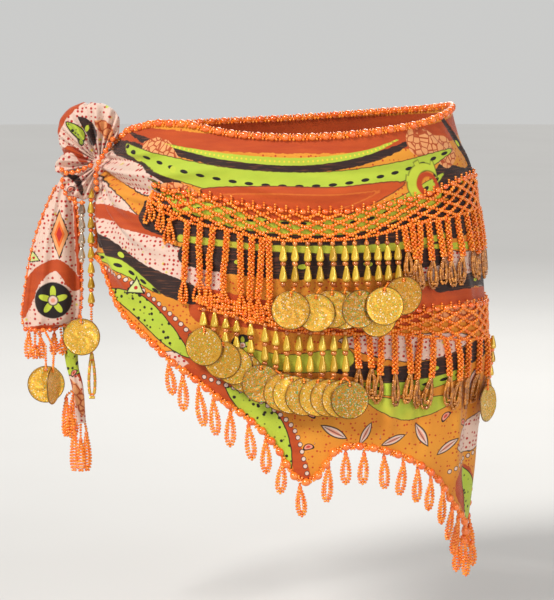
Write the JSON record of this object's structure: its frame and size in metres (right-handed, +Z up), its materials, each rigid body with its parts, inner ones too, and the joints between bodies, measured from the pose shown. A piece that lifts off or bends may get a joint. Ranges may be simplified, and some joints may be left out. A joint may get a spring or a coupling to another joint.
{
  "type": "belly dance hip scarf",
  "caption": "Triangular printed hip scarf worn as an open tube, knotted at one hip, with pearl edge, bead nets, fringe, strung drops and flat hanging coins.",
  "frame": {"origin": "centre of the top opening, where the wearer's hips hold the scarf", "axes": "+Z up; the front of the wearer faces -Y; +X is the wearer's left side, where the point of the triangle hangs; the knot is at -X"},
  "size_m": [0.4347, 0.2683, 0.4421],
  "materials": {
    "printed_chiffon": "sheer matt chiffon with a figured print in rust, mustard, lime, brown and white",
    "orange_beads": "glossy orange glass seed beads",
    "orange_pearls": "pearly orange",
    "gold_drops": "pearlescent green gold",
    "glitter_coin": "gold glitter with coloured glints"
  },
  "bodies": {
    "root": {"coin_lower_1": "glitter_coin", "coin_lower_10": "glitter_coin", "coin_lower_11": "glitter_coin", "coin_lower_12": "glitter_coin", "coin_lower_2": "glitter_coin", "coin_lower_3": "glitter_coin", "coin_lower_4": "glitter_coin", "coin_lower_5": "glitter_coin", "coin_lower_6": "glitter_coin", "coin_lower_7": "glitter_coin", "coin_lower_8": "glitter_coin", "coin_lower_9": "glitter_coin", "coin_side": "glitter_coin", "coin_tail_1": "glitter_coin", "coin_tail_2": "glitter_coin", "coin_tail_3": "glitter_coin", "coin_upper_1": "glitter_coin", "coin_upper_2": "glitter_coin", "coin_upper_3": "glitter_coin", "coin_upper_4": "glitter_coin", "coin_upper_5": "glitter_coin", "coin_upper_6": "glitter_coin", "coin_upper_7": "glitter_coin", "coin_upper_8": "glitter_coin", "drops_lower": "gold_drops", "drops_upper": "gold_drops", "edge_beads": "orange_pearls", "fringe_lower_back": "orange_beads", "fringe_lower_right": "orange_beads", "fringe_upper_back": "orange_beads", "fringe_upper_left": "orange_beads", "fringe_upper_right": "orange_beads", "hem_trim_back": "orange_beads", "hem_trim_front": "orange_beads", "knot_core": "printed_chiffon", "knot_lobe_front": "printed_chiffon", "knot_lobe_side": "printed_chiffon", "knot_lobe_top": "printed_chiffon", "knot_loop_low": "printed_chiffon", "loops_back": "orange_beads", "loops_front_left": "orange_beads", "loops_front_right": "orange_beads", "net_lower_back": "orange_beads", "net_lower_front": "orange_beads", "net_upper_back": "orange_beads", "net_upper_front": "orange_beads", "strand_gold": "gold_drops", "strand_loop": "gold_drops", "strand_orange": "orange_beads", "strand_silver": "gold_drops", "tail_narrow": "printed_chiffon", "tail_wide": "printed_chiffon", "tassel_apex": "orange_beads", "tassel_narrow_1": "orange_beads", "tassel_narrow_2": "orange_beads", "tassel_tail_mid": "orange_beads", "tassel_tail_wide": "orange_beads", "wrap_back": "printed_chiffon", "wrap_front": "printed_chiffon"}
  },
  "joints": []
}
